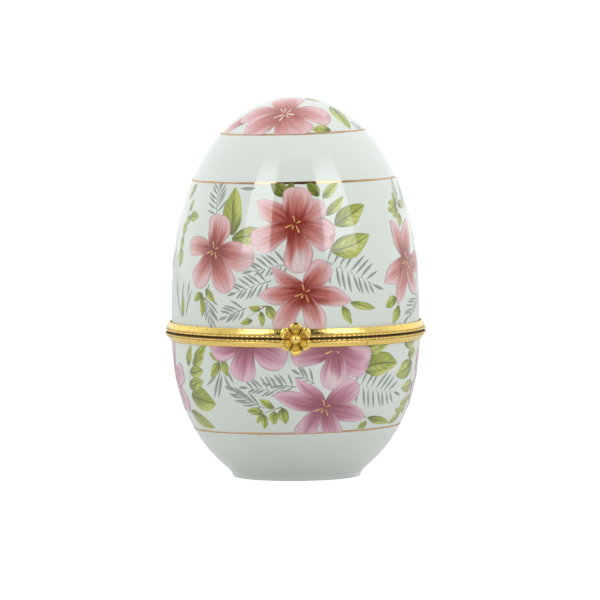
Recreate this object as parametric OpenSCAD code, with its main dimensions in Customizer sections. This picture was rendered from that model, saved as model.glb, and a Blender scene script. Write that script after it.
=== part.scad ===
// Porcelain egg trinket box: a bowl and a domed lid, each with a gilt brass collar
// cemented round its rim, joined by a knuckle hinge and closed by a rosette catch.
// Millimetres. +Z is up, -Y is the front, the origin is the centre of the foot.

/* [Egg] */
// Radius of the egg at its widest
belly_r = 32.6; // [27:0.1:40]
// Height of the widest level above the table
belly_z = 41; // [38:0.5:50]
// Height from the widest level to the top of the egg
crown_h = 59; // [48:0.5:72]
// Depth from the widest level to where the lower curve would close to a point
bowl_depth = 45; // [38:0.5:56]
// Fullness of the curve: 2 is an ellipse and more is squarer
fullness = 2.45; // [2.1:0.05:2.9]
// Radius of the foot that the egg stands on
foot_r = 17.2; // [14:0.1:20]
// Radius of the rounded edge under the foot
foot_edge_r = 0.5; // [0.2:0.1:0.8]
// Width of the ring that touches the table
foot_ring_w = 3.4; // [2:0.1:5]
// Depth of the hollow under the foot
foot_hollow = 0.8; // [0.3:0.1:1.5]

/* [Porcelain walls] */
// Wall of the bowl
bowl_wall = 3.2; // [2.4:0.1:4]
// Wall of the lid
lid_wall = 2.8; // [2.4:0.1:3.6]
// Thickness of the bowl's floor over the table
floor_t = 5; // [3.5:0.1:7]

/* [Collars] */
// Height of the parting plane between bowl and lid
seam_z = 38.5; // [34:0.5:46]
// Gap between the two collars when the box is shut
seam_gap = 0.4; // [0.3:0.05:0.8]
// Thickness of the brass strip
strip_t = 0.45; // [0.3:0.05:0.6]
// Thickness of the collar's flange over the porcelain rim
flange_t = 0.5; // [0.4:0.05:0.8]
// How far the edge bead stands outside the egg at its widest
bead_out = 1.7; // [1.4:0.1:2.4]
// Height of the edge bead
bead_h = 0.55; // [0.5:0.05:0.8]
// How far the strip is set in from the bead
bead_step = 0.35; // [0.2:0.05:0.5]
// Height of the lid's collar above the parting plane
lid_collar_h = 2.5; // [2.2:0.1:3.2]
// Height of the bowl's collar below the parting plane
bowl_collar_h = 2.3; // [2.2:0.1:3]
// Clearance between the collar's free edge and the bowl's glaze
bowl_edge_gap = 0.1; // [0.05:0.05:0.3]
// Clearance between the collar's free edge and the lid's glaze
lid_edge_gap = 0.45; // [0.2:0.05:0.6]
// Height of the collar's inner lip behind the porcelain rim
lip_h = 1.2; // [0.8:0.1:1.6]
// Gap for cement between collar and porcelain rim
bed = 0.15; // [0.1:0.05:0.3]
// How far the cement stays below the collar's free edge
cement_recess = 0.7; // [0.5:0.1:1]
// Width of the seat ridge that the lid rests on
seat_w = 0.9; // [0.6:0.1:1.4]
// Clearance under the lid on its seat
seat_gap = 0.05; // [0.03:0.01:0.1]

/* [Hinge] */
// Radius of the hinge knuckles
knuckle_r = 1.15; // [1:0.05:1.6]
// Length of the whole hinge barrel
barrel_l = 10; // [8:0.5:14]
// Length of the lid's middle knuckle
mid_knuckle_l = 4; // [3:0.5:6]
// Gap between two knuckles
knuckle_gap = 0.15; // [0.1:0.05:0.3]
// Width of the leaves that are brazed to the collars
leaf_w = 9; // [7:0.5:12]
// Thickness of the leaves outside the strip
leaf_t = 0.75; // [0.6:0.05:1]
// Clearance between the barrel and the collar beads
barrel_gap = 0.45; // [0.4:0.05:0.8]
// Radius of the hinge pin
pin_r = 0.5; // [0.4:0.05:0.6]
// Running clearance round the pin in the lid's knuckle
pin_play = 0.05; // [0.03:0.01:0.1]
// Radius of the peened heads of the pin
pin_head_r = 0.8; // [0.7:0.05:1]
// Thickness of the peened heads
pin_head_t = 0.35; // [0.2:0.05:0.6]

/* [Catch] */
// Thickness of the spring tongue
tongue_t = 0.45; // [0.3:0.05:0.6]
// Width of the spring tongue
tongue_w = 3.6; // [3:0.1:5]
// Clearance between tongue and collar beads
tongue_gap = 0.1; // [0.05:0.05:0.2]
// How far the tongue reaches below the parting plane
tongue_drop = 2; // [1.6:0.1:2.6]
// Outer radius of the rosette
rosette_r = 4.3; // [3.6:0.1:5.2]
// Number of petals of the rosette
petals = 6; // [5:1:10]
// Thickness of the rosette
rosette_t = 0.85; // [0.6:0.05:1.2]
// Radius of the boss at the centre of the rosette
boss_r = 1.35; // [1:0.05:1.7]
// Radius of the rivet shank that holds rosette and tongue together
shank_r = 0.45; // [0.35:0.05:0.6]
// Radius of the catch stud on the bowl's collar
stud_r = 0.6; // [0.4:0.05:0.8]
// Clearance behind the tongue at its pad and at the catch stud
tongue_play = 0.05; // [0.03:0.01:0.1]

/* [Hidden] */
$fn = 192;
ring_steps = 26;             // rings along each porcelain curve
eps = 0.01;
porcelain = "#eef1ea";
gilt = "#d9a93c";
plaster = "#e6e0d2";

half_gap = seam_gap / 2;
bead_r = belly_r + bead_out;                  // outside of the edge beads
strip_r = bead_r - bead_step;                 // outside of the strip next to its bead
bead_top = half_gap + bead_h;                 // height of a bead's far side from the parting plane
rim_offset = half_gap + flange_t + bed;       // height of a porcelain rim from the parting plane
axis_y = bead_r + barrel_gap + knuckle_r;     // hinge axis, behind the collars
tongue_y = bead_r + tongue_gap;               // inner face of the tongue, in front of the collars
rosette_y = tongue_y + tongue_t;              // back of the rosette

// Radius of the egg at height z, or of the hollow inside a wall of the given thickness.
function egg_r(z, wall = 0) =
    let (reach = (z > belly_z ? crown_h : bowl_depth) - wall,
         share = min(1, abs(z - belly_z) / reach))
    (belly_r - wall) * sqrt(1 - pow(share, fullness));

// Height above the belly (side 1) or below it (side -1) where that curve has radius r.
function egg_z(r, wall, side) =
    let (reach = (side > 0 ? crown_h : bowl_depth) - wall)
    belly_z + side * reach * pow(max(0, 1 - pow(r / (belly_r - wall), 2)), 1 / fullness);

// Points along the curve from height z0 to z1, closer together where the height nears z0.
function low_curve(z0, z1, wall) =
    [for (i = [0 : ring_steps]) let (z = z0 + (z1 - z0) * pow(i / ring_steps, 1.4)) [egg_r(z, wall), z]];

// Points along the crown from height z0 up to the top, evenly turned round the belly's centre.
function crown_curve(z0, wall) =
    let (top = belly_z + crown_h - wall)
    [for (i = [0 : ring_steps])
        let (z = z0 + (top - z0) * sin(90 * i / ring_steps)) [i == ring_steps ? 0 : egg_r(z, wall), z]];

// Turns a half profile of [radius, height] points about the egg's axis.
module turned(points) {
    rotate_extrude() polygon(points);
}

// A drum along X, centred on x = 0 unless it starts at x.
module x_rod(r, length, x = undef) {
    translate([is_undef(x) ? -length / 2 : x, 0, 0]) rotate([0, 90, 0]) cylinder(r = r, h = length);
}

// A rod along -Y that starts at distance y in front of the egg's axis.
module front_rod(r, length, y) {
    translate([0, -y, 0]) rotate([90, 0, 0]) cylinder(r = r, h = length);
}

// Everything in it moves from the parting plane at z = 0 to its real height.
module at_seam() {
    translate([0, 0, seam_z]) children();
}

// ---------- porcelain ----------

bowl_rim_z = seam_z - rim_offset;
lid_rim_z = seam_z + rim_offset;
foot_top = egg_z(foot_r, 0, -1);

module base_shell() {
    hollow_r = foot_r - foot_ring_w;
    outside = low_curve(foot_top, bowl_rim_z, 0);
    inside = low_curve(floor_t, bowl_rim_z, bowl_wall);
    edge = [for (a = [-90 : 30 : 0]) [foot_r - foot_edge_r + foot_edge_r * cos(a), foot_edge_r * (1 + sin(a))]];
    color(porcelain)
        turned(concat(
            [[0, foot_hollow], [hollow_r - foot_hollow, foot_hollow], [hollow_r, 0]],
            edge, outside,
            [for (i = [ring_steps : -1 : 0]) inside[i]],
            [[0, floor_t]]));
}

module lid_shell() {
    outside = crown_curve(lid_rim_z, 0);
    inside = crown_curve(lid_rim_z, lid_wall);
    color(porcelain)
        turned(concat(outside, [for (i = [ring_steps : -1 : 0]) inside[i]]));
}

// ---------- collars ----------

// A collar as a profile above the parting plane, for a rim of outer radius rim_r and wall wall_t.
function collar_points(rim_r, wall_t, edge_gap, height) =
    let (edge_r = rim_r + edge_gap + strip_t, lip_r = rim_r - wall_t - bed)
    [[lip_r - strip_t, half_gap], [bead_r, half_gap], [bead_r, bead_top], [strip_r, bead_top],
     [edge_r, height], [edge_r - strip_t, height], [strip_r - strip_t, half_gap + flange_t],
     [lip_r, half_gap + flange_t], [lip_r, half_gap + flange_t + lip_h],
     [lip_r - strip_t, half_gap + flange_t + lip_h]];

// The cement between a rim and its collar: a bed under the rim, and a fillet behind the strip.
function cement_points(rim_r, wall_t, edge_gap, height) =
    let (top = height - cement_recess, foot = half_gap + flange_t, run = height - foot,
         face_r = rim_r + edge_gap, foot_r2 = strip_r - strip_t,
         top_r = face_r + (foot_r2 - face_r) * (height - top) / run)
    [[rim_r - wall_t - bed, foot], [foot_r2, foot], [top_r, top],
     [rim_r, top], [rim_r, rim_offset], [rim_r - wall_t - bed, rim_offset]];

function upside_down(points) = [for (p = points) [p[0], -p[1]]];

// Widest radius of the egg between the heights z0 and z1.
function widest_r(z0, z1) = z0 < belly_z && belly_z < z1 ? belly_r : max(egg_r(z0), egg_r(z1));

lid_rim_r = widest_r(lid_rim_z, seam_z + lid_collar_h);
bowl_rim_r = widest_r(seam_z - bowl_collar_h, bowl_rim_z);
lid_wall_at_rim = lid_rim_r - egg_r(lid_rim_z, lid_wall);
bowl_wall_at_rim = bowl_rim_r - egg_r(bowl_rim_z, bowl_wall);

module lid_collar() {
    color(gilt) at_seam() turned(collar_points(lid_rim_r, lid_wall_at_rim, lid_edge_gap, lid_collar_h));
}

module base_collar() {
    seat_r = bowl_rim_r - bowl_wall_at_rim;
    color(gilt) at_seam() {
        turned(upside_down(collar_points(bowl_rim_r, bowl_wall_at_rim, bowl_edge_gap, bowl_collar_h)));
        turned([[seat_r, -half_gap - flange_t / 2], [seat_r + seat_w, -half_gap - flange_t / 2],
                [seat_r + seat_w, half_gap - seat_gap], [seat_r, half_gap - seat_gap]]);
    }
}

module lid_cement() {
    color(plaster) at_seam() turned(cement_points(lid_rim_r, lid_wall_at_rim, lid_edge_gap, lid_collar_h));
}

module base_cement() {
    color(plaster) at_seam()
        turned(upside_down(cement_points(bowl_rim_r, bowl_wall_at_rim, bowl_edge_gap, bowl_collar_h)));
}

// ---------- hinge ----------

// A leaf that follows the outside of a collar's strip, above the parting plane.
module leaf_plate(rim_r, edge_gap, height) {
    edge_r = rim_r + edge_gap + strip_t;
    out_r = strip_r + leaf_t;
    intersection() {
        turned([[strip_r, bead_top], [out_r, bead_top], [out_r, height], [edge_r, height]]);
        translate([-leaf_w / 2, 0, 0]) cube([leaf_w, bead_r * 2, height]);
    }
}

// Knuckle and its web to the plate, above the parting plane.
module knuckle(x0, x1) {
    web_y = strip_r + eps;
    translate([0, axis_y, 0]) x_rod(knuckle_r, x1 - x0, x0);
    translate([x0, web_y, bead_top]) cube([x1 - x0, axis_y - web_y, knuckle_r - bead_top + eps]);
}

module lid_hinge_leaf() {
    color(gilt) at_seam() difference() {
        union() {
            leaf_plate(lid_rim_r, lid_edge_gap, lid_collar_h);
            knuckle(-mid_knuckle_l / 2, mid_knuckle_l / 2);
        }
        translate([0, axis_y, 0]) x_rod(pin_r + pin_play, barrel_l);
    }
}

module base_hinge_leaf() {
    inner = mid_knuckle_l / 2 + knuckle_gap;
    color(gilt) at_seam() difference() {
        mirror([0, 0, 1]) union() {
            leaf_plate(bowl_rim_r, bowl_edge_gap, bowl_collar_h);
            knuckle(-barrel_l / 2, -inner);
            knuckle(inner, barrel_l / 2);
        }
        translate([0, axis_y, 0]) x_rod(pin_r, barrel_l * 2);
    }
}

module hinge_pin() {
    color(gilt) at_seam() translate([0, axis_y, 0]) {
        x_rod(pin_r, barrel_l);
        for (side = [-1, 1])
            x_rod(pin_head_r, pin_head_t, side > 0 ? barrel_l / 2 : -barrel_l / 2 - pin_head_t);
    }
}

// ---------- catch ----------

// The tongue turns about the middle of its rounded top end.
tongue_top = bead_top + 0.9;
tongue_axis_y = tongue_y + tongue_t / 2;

module catch_stud() {
    z = -(bead_top + bowl_collar_h) / 2;
    color(gilt) at_seam() difference() {
        translate([0, 0, z]) front_rod(stud_r, tongue_y - tongue_play - strip_r + 1, strip_r - 1);
        turned(upside_down([[0, 0], [strip_r, 0], [strip_r, bead_top],
                            [bowl_rim_r + bowl_edge_gap + strip_t, bowl_collar_h], [0, bowl_collar_h]]));
    }
}

// The pad that is brazed to the lid's collar and carries the tongue's rounded end.
module tongue_pad() {
    edge_r = lid_rim_r + lid_edge_gap + strip_t;
    color(gilt) at_seam() intersection() {
        turned([[strip_r, bead_top], [rosette_y, bead_top], [rosette_y, lid_collar_h], [edge_r, lid_collar_h]]);
        translate([-tongue_w / 2, -tongue_y + tongue_play, 0]) cube([tongue_w, bead_r, lid_collar_h]);
    }
}

module catch_tongue() {
    color(gilt) at_seam() difference() {
        union() {
            translate([-tongue_w / 2, -tongue_y - tongue_t, -tongue_drop])
                cube([tongue_w, tongue_t, tongue_top + tongue_drop]);
            translate([0, -tongue_axis_y, tongue_top]) x_rod(tongue_t / 2, tongue_w);
        }
        front_rod(shank_r, tongue_t * 3, tongue_y - tongue_t);
    }
}

module catch_rosette() {
    petal_r = rosette_r * sin(180 / petals) / (1 + sin(180 / petals)) * 1.16;
    petal_at = rosette_r - petal_r;
    color(gilt) at_seam() difference() {
        translate([0, -rosette_y, 0]) rotate([90, 0, 0]) linear_extrude(rosette_t) union() {
            circle(r = petal_at);
            for (i = [0 : petals - 1])
                rotate(90 + i * 360 / petals) translate([petal_at, 0]) circle(r = petal_r);
        }
        front_rod(shank_r, rosette_t * 3, rosette_y - rosette_t);
    }
}

// A domed head on a shank that passes through the rosette and the tongue.
module catch_rivet() {
    head_y = rosette_y + rosette_t;
    color(gilt) at_seam() {
        front_rod(shank_r, head_y - tongue_y + eps, tongue_y);
        intersection() {
            translate([0, -head_y, 0]) sphere(r = boss_r);
            front_rod(boss_r * 2, boss_r * 2, head_y);
        }
    }
}

base_shell();
base_cement();
base_collar();
base_hinge_leaf();
hinge_pin();
catch_stud();
lid_shell();
lid_cement();
lid_collar();
lid_hinge_leaf();
tongue_pad();
catch_tongue();
catch_rosette();
catch_rivet();
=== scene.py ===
# %% [markdown]
# # A porcelain egg box with printed flowers
#
# The object is a hinged trinket box: a porcelain bowl and a porcelain dome, each with a gilt
# brass collar round its rim, a knuckle hinge at the back and a rosette catch at the front.
# The moving model comes from CAD and is loaded first, so shells, collars and catch are placed by
# measuring that model. The flowers are placed by the lists in the composition cell.

# %% Load the moving model
import math
import random
import bpy
import bmesh
import numpy as np
from mathutils import Matrix, Vector


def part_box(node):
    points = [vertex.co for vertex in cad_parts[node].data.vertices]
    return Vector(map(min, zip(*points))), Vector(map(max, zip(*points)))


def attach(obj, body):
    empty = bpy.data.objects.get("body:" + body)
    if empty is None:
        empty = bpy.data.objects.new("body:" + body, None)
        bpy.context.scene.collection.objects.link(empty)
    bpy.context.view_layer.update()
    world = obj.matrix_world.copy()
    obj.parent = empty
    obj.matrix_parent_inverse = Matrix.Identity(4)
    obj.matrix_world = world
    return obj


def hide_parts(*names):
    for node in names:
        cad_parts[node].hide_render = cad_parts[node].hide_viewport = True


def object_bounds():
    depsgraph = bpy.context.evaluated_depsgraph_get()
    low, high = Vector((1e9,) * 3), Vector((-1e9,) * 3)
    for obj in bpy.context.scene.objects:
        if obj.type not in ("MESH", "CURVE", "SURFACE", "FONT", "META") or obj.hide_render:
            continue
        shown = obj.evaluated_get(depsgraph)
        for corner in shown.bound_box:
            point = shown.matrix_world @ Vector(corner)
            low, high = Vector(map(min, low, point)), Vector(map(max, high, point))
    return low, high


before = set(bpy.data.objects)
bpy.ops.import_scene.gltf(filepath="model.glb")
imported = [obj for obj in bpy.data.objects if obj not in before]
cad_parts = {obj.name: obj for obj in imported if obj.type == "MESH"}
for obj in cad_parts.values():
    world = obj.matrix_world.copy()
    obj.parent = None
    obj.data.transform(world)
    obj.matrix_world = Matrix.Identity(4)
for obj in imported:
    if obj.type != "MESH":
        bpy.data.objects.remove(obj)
cad_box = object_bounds()
scene = bpy.context.scene
print("CAD box in mm:", [[round(v * 1000, 2) for v in corner] for corner in cad_box])

# %% [markdown]
# ## Measures
#
# All shapes below are written in millimetres and scaled once, when a piece is finished.
# The egg is one curve, a superellipse whose upper half is longer than its lower half. A formula
# beats a list of traced points here: it is smooth at any density, and the shell, the gilt lines
# and every printed petal can ask it for a place and for the slope there.

# %% Sizes taken from the model
MM = 0.001
half_gap = 0.2  # half of the gap between the two collars
bead_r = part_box("base_collar")[1].x / MM  # outside of the collars' edge beads
seam_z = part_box("lid_collar")[0].z / MM - half_gap  # parting plane of bowl and lid
top_z = cad_box[1].z / MM
belly_r = bead_r - 1.7  # the collars stand out from the belly by this much
belly_z = 41.0
bowl_depth = 45.0  # from the belly to where the lower curve would close
fullness = 2.45  # power of the superellipse: 2 is an ellipse, more is squarer
foot_r = 17.2
print("seam at", round(seam_z, 2), "belly radius", round(belly_r, 2), "top", round(top_z, 2))


def egg_radius(z, wall=0.0):
    """Radius of the egg at height z, or of its hollow inside a wall."""
    reach = (top_z - belly_z if z > belly_z else bowl_depth) - wall
    share = min(1.0, abs(z - belly_z) / reach)
    return (belly_r - wall) * math.sqrt(1 - share ** fullness)


def foot_level():
    """Height at which the lower curve has the radius of the foot."""
    return belly_z - bowl_depth * (1 - (foot_r / belly_r) ** 2) ** (1 / fullness)


print("foot starts at", round(foot_level(), 2), "mm")

# %% The egg as a ruler: distance along the curve from the top
turns = np.linspace(0, math.pi / 2, 3000)
heights = np.concatenate([belly_z + (top_z - belly_z) * np.cos(turns),
                          np.linspace(belly_z, foot_level(), 2000)[1:]])
radii = np.array([egg_radius(z) for z in heights])
steps = np.hypot(np.diff(heights), np.diff(radii))
arcs = np.concatenate([[0.0], np.cumsum(steps)])
slopes = np.unwrap(np.arctan2(np.gradient(heights), np.gradient(radii)))


def arc_at(z):
    """Distance along the egg's curve from the top down to height z."""
    return float(np.interp(-z, -heights, arcs))


def on_egg(angle, arc, lift):
    """A point by its angle from the front in radians, its arc from the top and its lift off the glaze."""
    r, z = np.interp(arc, arcs, radii), np.interp(arc, arcs, heights)
    slope = np.interp(arc, arcs, slopes)
    r, z = r - lift * math.sin(slope), z + lift * math.cos(slope)
    return Vector((r * math.sin(angle), -r * math.cos(angle), z))


print("curve from top to foot:", round(arcs[-1], 1), "mm")

# %% [markdown]
# ## Turning, finishing and riding
#
# Round pieces are turned: a half profile is drawn once and bmesh's spin sweeps it round the axis,
# as a potter's wheel or a lathe would. The ends of a profile on the axis fall on one another, so
# doubles are merged and the normals are recalculated before anything else is done.

# %% Helpers for turned pieces
def turn(points, steps=256, closed=False):
    """Turns a half profile of (radius, height) points about the upright axis."""
    bm = bmesh.new()
    verts = [bm.verts.new((r, 0, z)) for r, z in points]
    for pair in zip(verts, verts[1:]):
        bm.edges.new(pair)
    if closed:
        bm.edges.new((verts[-1], verts[0]))
    bmesh.ops.spin(bm, geom=bm.verts[:] + bm.edges[:], cent=(0, 0, 0), axis=(0, 0, 1),
                   angle=2 * math.pi, steps=steps, use_merge=True, use_duplicate=False)
    bmesh.ops.remove_doubles(bm, verts=bm.verts, dist=1e-4)
    bmesh.ops.recalc_face_normals(bm, faces=bm.faces)
    return bm


def arc_points(centre, radius, start, end, count):
    """Points (radius, height) along an arc of a profile, with its angles in degrees."""
    turned = [math.radians(start + (end - start) * i / count) for i in range(count + 1)]
    return [(centre[0] + radius * math.cos(a), centre[1] + radius * math.sin(a)) for a in turned]


def make_object(name, bm, material):
    """Makes a bmesh an object of the scene, with one material."""
    mesh = bpy.data.meshes.new(name)
    bm.to_mesh(mesh)
    bm.free()
    mesh.materials.append(material)
    made = bpy.data.objects.new(name, mesh)
    scene.collection.objects.link(made)
    return made


def finish_piece(bm, name, body, material, replaced=(), sharp=38):
    """Scales a bmesh from millimetres, makes it an object and hangs it on its CAD body."""
    bmesh.ops.scale(bm, vec=(MM, MM, MM), verts=bm.verts)
    for face in bm.faces:
        face.smooth = True
    for edge in bm.edges:
        edge.smooth = edge.calc_face_angle(0.0) < math.radians(sharp)
    faces, open_edges = len(bm.faces), sum(not edge.is_manifold for edge in bm.edges)
    piece = make_object(name, bm, material)
    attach(piece, body)
    if replaced:
        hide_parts(*replaced)
    print(name, "-", faces, "faces,", open_edges, "open edges, on", body)


# %% [markdown]
# ## Studio
#
# A glossy egg shows the room it stands in. Two tall softboxes stand left and right of the camera,
# and between them a dark card gives the glaze and the gilding something deep to mirror. The camera
# itself sees a white sweep: the floor and the sky are brighter for its rays than for the light that
# they throw, so that the lower half of the egg keeps its soft grey.

# %% Shader node helpers
def add_node(tree, kind, inputs=None, **settings):
    """Adds a shader node, sets it up and links or fills its inputs."""
    node = tree.nodes.new("ShaderNode" + kind)
    for key, value in settings.items():
        setattr(node, key, value)
    for key, value in (inputs or {}).items():
        if isinstance(value, bpy.types.NodeSocket):
            tree.links.new(value, node.inputs[key])
        else:
            node.inputs[key].default_value = value
    return node


def maths(tree, operation, first, second=0.0):
    """One sum on two values or sockets."""
    return add_node(tree, "Math", {0: first, 1: second}, operation=operation).outputs[0]


def times(tree, first, second):
    """The product of two values or sockets."""
    return maths(tree, "MULTIPLY", first, second)


def noise(tree, place, scale, detail):
    """Cloudy noise at a place."""
    inputs = {"Vector": place, "Scale": scale, "Detail": detail}
    return add_node(tree, "TexNoise", inputs).outputs["Fac"]


def object_noise(tree, scale, detail):
    """Noise that is fixed to the object."""
    return noise(tree, add_node(tree, "TexCoord").outputs["Object"], scale, detail)


def fade(tree, value, low, high, start=0.0, end=1.0):
    """A smooth step of value from start at low to end at high."""
    limits = {"Value": value, "From Min": low, "From Max": high, "To Min": start, "To Max": end}
    return add_node(tree, "MapRange", limits, interpolation_type="SMOOTHSTEP").outputs[0]


def mix(tree, share, first, second):
    """Mixes two colours by a share from 0 to 1."""
    node = add_node(tree, "Mix", {0: share, 6: first, 7: second}, data_type="RGBA")
    return node.outputs[2]


def new_material(name, settings):
    """A material with one Principled shader, whose plain values are set on its own sockets."""
    material = bpy.data.materials.new(name)
    material.use_nodes = True
    shader = material.node_tree.nodes["Principled BSDF"]
    for socket, value in settings.items():
        shader.inputs[socket].default_value = value
    return material, material.node_tree, shader


# %% White sweep
def pale_floor():
    """A floor that the camera sees nearly white, and that throws back less light than that."""
    material, tree, _ = new_material("pale floor", {})
    tree.nodes.clear()
    rays = add_node(tree, "LightPath").outputs
    paper = add_node(tree, "BsdfDiffuse", {"Color": (0.9, 0.9, 0.9, 1)}).outputs[0]
    glow = add_node(tree, "Emission", {"Color": (1, 1, 1, 1), "Strength": 1.12}).outputs[0]
    dull = add_node(tree, "BsdfDiffuse", {"Color": (0.66, 0.68, 0.66, 1)}).outputs[0]
    mirrored = add_node(tree, "Emission", {"Color": (1, 1, 1, 1), "Strength": 0.7}).outputs[0]
    bright = add_node(tree, "MixShader", {0: 0.82, 1: paper, 2: glow}).outputs[0]
    thrown = add_node(tree, "MixShader", {0: rays["Is Glossy Ray"], 1: dull, 2: mirrored}).outputs[0]
    both = add_node(tree, "MixShader", {0: rays["Is Camera Ray"], 1: thrown, 2: bright}).outputs[0]
    add_node(tree, "OutputMaterial", {"Surface": both})
    return material


floor_bm = bmesh.new()
bmesh.ops.create_grid(floor_bm, x_segments=8, y_segments=8, size=6)
floor = make_object("floor", floor_bm, pale_floor())

sky = bpy.data.worlds.new("studio")
scene.world = sky
sky.use_nodes = True
air = sky.node_tree
air.nodes.clear()
seen = add_node(air, "LightPath").outputs["Is Camera Ray"]
white = add_node(air, "Background", {"Color": (1, 1, 1, 1), "Strength": 1.05}).outputs[0]
direction = add_node(air, "TexCoord").outputs["Generated"]
away = add_node(air, "SeparateXYZ", {0: direction}).outputs[1]
brightness = fade(air, away, -0.35, 0.55, 0.69, 1.08)
room = add_node(air, "Background", {"Color": (0.97, 1, 0.985, 1), "Strength": brightness}).outputs[0]
shown = add_node(air, "MixShader", {0: seen, 1: room, 2: white}).outputs[0]
add_node(air, "OutputWorld", {"Surface": shown})
print("studio: floor and sky ready")

# %% Softboxes and the dark card
box_distance, box_low, box_high, box_strength = 0.9, 0.24, 1.45, 2.2
card_distance, card_centre_z = 2.4, 2.1
card_half_width, card_half_height = 1.3, 2.1


def in_front(azimuth, distance, height):
    """A place in metres; azimuth is in degrees to the right of the front."""
    turned = math.radians(azimuth)
    return (distance * math.sin(turned), -distance * math.cos(turned), height)


def facing(place, aim):
    """A matrix at a place whose -Z axis looks at the aim."""
    look = (Vector(aim) - Vector(place)).to_track_quat("-Z", "Y")
    return Matrix.Translation(place) @ look.to_matrix().to_4x4()


def softbox(name, azimuth, width):
    """An upright softbox; its cloth is bright at one end and fades towards the other."""
    place = in_front(azimuth, box_distance, (box_low + box_high) / 2)
    light = bpy.data.lights.new(name, "AREA")
    light.shape = "RECTANGLE"
    light.size = width
    light.size_y = box_high - box_low
    light.energy = box_strength * width * light.size_y * math.pi
    light.use_nodes = True
    cloth = light.node_tree
    on_cloth = add_node(cloth, "NewGeometry").outputs["Parametric"]
    upward = add_node(cloth, "SeparateXYZ", {0: on_cloth}).outputs[1]
    glow = fade(cloth, upward, 0.4, 1.0, 1.0, 0.1)
    cloth.links.new(glow, cloth.nodes["Emission"].inputs["Strength"])
    lamp = bpy.data.objects.new(name, light)
    lamp.matrix_world = facing(place, (0, 0, place[2]))
    lamp.visible_camera = False
    scene.collection.objects.link(lamp)


softbox("softbox left", -38, 0.45)
softbox("softbox right", 45, 0.54)

card_bm = bmesh.new()
bmesh.ops.create_grid(card_bm, x_segments=2, y_segments=2, size=1)
bmesh.ops.scale(card_bm, vec=(card_half_width, card_half_height, 1), verts=card_bm.verts)
card_pose = facing(in_front(3, card_distance, card_centre_z), (0, 0, card_centre_z))
bmesh.ops.transform(card_bm, matrix=card_pose, verts=card_bm.verts)
card_paint = new_material("dark card", {"Base Color": (0.02, 0.02, 0.02, 1)})[0]
card = make_object("dark card", card_bm, card_paint)
card.visible_camera = False
card.visible_shadow = False

# %% Camera
camera_distance = 2.0
camera_height_angle = math.radians(3.83)
frame_width = 0.1579  # what the picture takes in at the egg, in metres
camera_roll = math.radians(0.45)
aim = Vector((0.0012, 0, 0.0463))
camera_data = bpy.data.cameras.new("camera")
camera_data.sensor_width = 36
camera_data.lens = camera_data.sensor_width * camera_distance / frame_width
camera = bpy.data.objects.new("camera", camera_data)
back_off = Vector((0, -math.cos(camera_height_angle), math.sin(camera_height_angle)))
unrolled = facing(aim + camera_distance * back_off, aim)
camera.matrix_world = unrolled @ Matrix.Rotation(-camera_roll, 4, "Z")
scene.collection.objects.link(camera)
scene.camera = camera
scene.view_settings.view_transform = "Standard"
print("camera lens", round(camera_data.lens), "mm")

# %% [markdown]
# ## Glaze, gold and cement
#
# Glazed porcelain is a matt white body under a clear glossy skin. The skin is never perfectly flat:
# it ripples faintly where it ran in the kiln. That ripple and the changes in its gloss are wanted on
# the white shell and on every printed colour alike, and they have to line up, so they are one node
# group that reads Object coordinates.

# %% Node groups shared by the finishes
def new_group(name, inputs, outputs):
    """An empty node group. Returns its tree, the sockets it is given and the sockets of its result."""
    tree = bpy.data.node_groups.new(name, "ShaderNodeTree")
    for socket, kind, value in inputs:
        made = tree.interface.new_socket(name=socket, in_out="INPUT", socket_type="NodeSocket" + kind)
        made.default_value = value
    for socket, kind in outputs:
        tree.interface.new_socket(name=socket, in_out="OUTPUT", socket_type="NodeSocket" + kind)
    given = tree.nodes.new("NodeGroupInput").outputs
    result = tree.nodes.new("NodeGroupOutput").inputs
    return tree, given, result


def kiln_glaze():
    """The skin of the glaze: a faint ripple, and gloss that changes a little from place to place."""
    tree, given, result = new_group(
        "kiln glaze", [("Ripple", "Float", 0.3), ("Roughness", "Float", 0.06)],
        [("Normal", "Vector"), ("Roughness", "Float")])
    broad = object_noise(tree, 130, 1.5)
    fine = object_noise(tree, 700, 2)
    skin = maths(tree, "ADD", broad, times(tree, fine, 0.06))
    bump = add_node(tree, "Bump", {"Strength": given["Ripple"], "Distance": 0.00006, "Height": skin})
    tree.links.new(bump.outputs[0], result["Normal"])
    smear = fade(tree, broad, 0.3, 0.7, 0.75, 1.3)
    tree.links.new(times(tree, given["Roughness"], smear), result["Roughness"])
    return tree


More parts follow.
